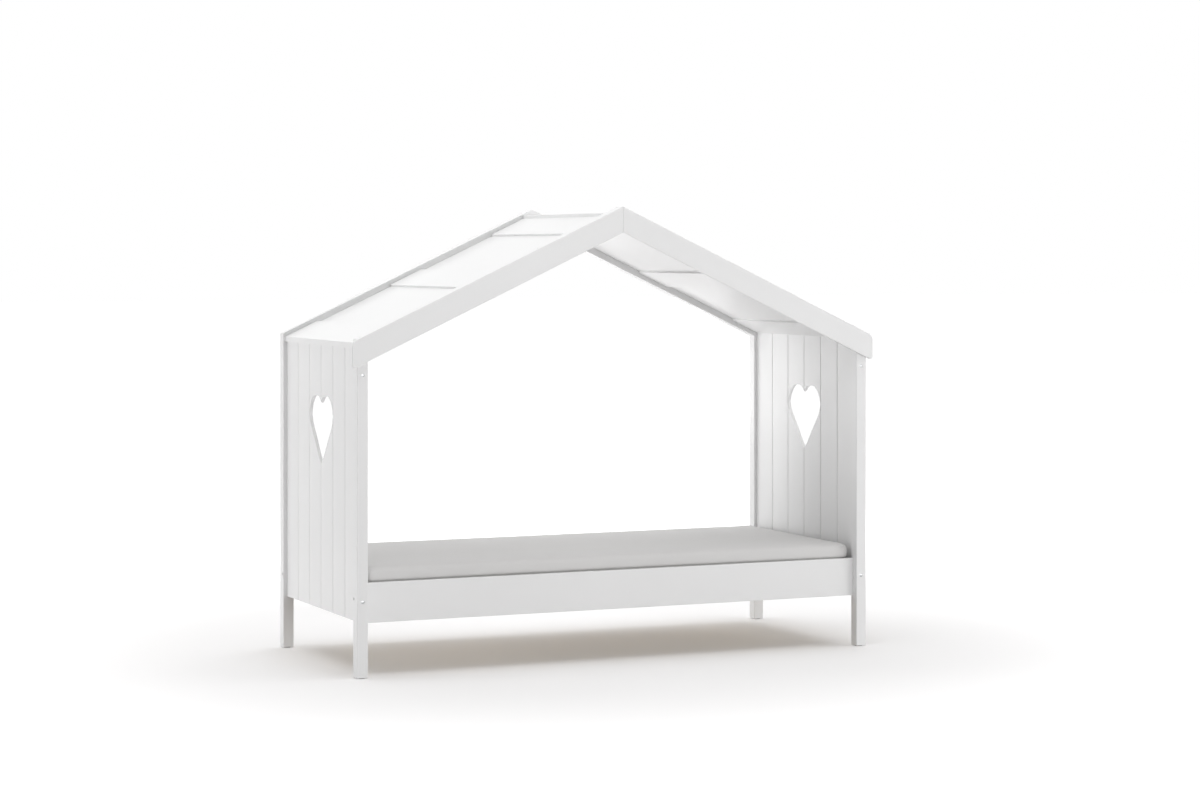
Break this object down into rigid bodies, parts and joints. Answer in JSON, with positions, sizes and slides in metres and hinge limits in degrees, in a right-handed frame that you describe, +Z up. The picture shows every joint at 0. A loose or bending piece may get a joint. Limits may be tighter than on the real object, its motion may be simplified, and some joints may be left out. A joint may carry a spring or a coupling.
{
  "type": "house frame bed",
  "caption": "Child's bed in the shape of a small house: slatted base with mattress between two end panels with heart cut-outs, under a pitched roof open at front and back.",
  "frame": {"origin": "on the floor, under the middle of the whole object's box", "axes": "+X along the bed, +Y from the gable board side to the back, +Z up"},
  "size_m": [2.146, 1.013, 1.739],
  "materials": {
    "white_lacquered_wood": "satin white lacquer on planed softwood",
    "white_lacquered_board": "satin white lacquer on fibreboard",
    "slat_timber": "planed, unfinished",
    "dowel_beech": "turned, unfinished",
    "webbing": "woven tape",
    "mattress_cover": "smooth cotton jersey fitted sheet",
    "zinc_plated_steel": "bright zinc plate",
    "glide_plastic": "moulded"
  },
  "bodies": {
    "frame": {"post_front_left": "white_lacquered_wood", "gable_bearer_front_left": "white_lacquered_wood", "gable_cap_front_left": "white_lacquered_wood", "post_front_right": "white_lacquered_wood", "gable_bearer_front_right": "white_lacquered_wood", "gable_cap_front_right": "white_lacquered_wood", "post_rear_left": "white_lacquered_wood", "gable_bearer_rear_left": "white_lacquered_wood", "gable_cap_rear_left": "white_lacquered_wood", "post_rear_right": "white_lacquered_wood", "gable_bearer_rear_right": "white_lacquered_wood", "gable_cap_rear_right": "white_lacquered_wood", "end_panel_left": "white_lacquered_board", "fascia_left": "white_lacquered_wood", "roof_rail_eave_left": "white_lacquered_wood", "roof_rail_mid_left": "white_lacquered_wood", "roof_rail_ridge_left": "white_lacquered_wood", "roof_infill_lower_left": "white_lacquered_board", "roof_infill_upper_left": "white_lacquered_board", "end_panel_right": "white_lacquered_board", "fascia_right": "white_lacquered_wood", "roof_rail_eave_right": "white_lacquered_wood", "roof_rail_mid_right": "white_lacquered_wood", "roof_rail_ridge_right": "white_lacquered_wood", "roof_infill_lower_right": "white_lacquered_board", "roof_infill_upper_right": "white_lacquered_board", "side_rail_front": "white_lacquered_wood", "slat_ledge_front": "slat_timber", "slat_tape_front": "webbing", "side_rail_rear": "white_lacquered_wood", "slat_ledge_rear": "slat_timber", "slat_tape_rear": "webbing", "ridge_beam": "white_lacquered_wood", "slat_01": "slat_timber", "slat_02": "slat_timber", "slat_03": "slat_timber", "slat_04": "slat_timber", "slat_05": "slat_timber", "slat_06": "slat_timber", "slat_07": "slat_timber", "slat_08": "slat_timber", "slat_09": "slat_timber", "slat_10": "slat_timber", "slat_11": "slat_timber", "slat_12": "slat_timber", "slat_13": "slat_timber", "slat_14": "slat_timber", "panel_screws": "zinc_plated_steel", "rail_bolts": "zinc_plated_steel", "barrel_nuts": "zinc_plated_steel", "cap_screws": "zinc_plated_steel", "fascia_screws": "zinc_plated_steel", "ledge_screws": "zinc_plated_steel", "rail_dowels": "dowel_beech", "foot_glides": "glide_plastic"},
    "mattress": {"mattress": "mattress_cover"}
  },
  "joints": [
    {"name": "mattress_lift", "type": "slide", "parent": "frame", "child": "mattress", "axis": [0, 0, 1], "range_m": [0, 0.3]}
  ]
}
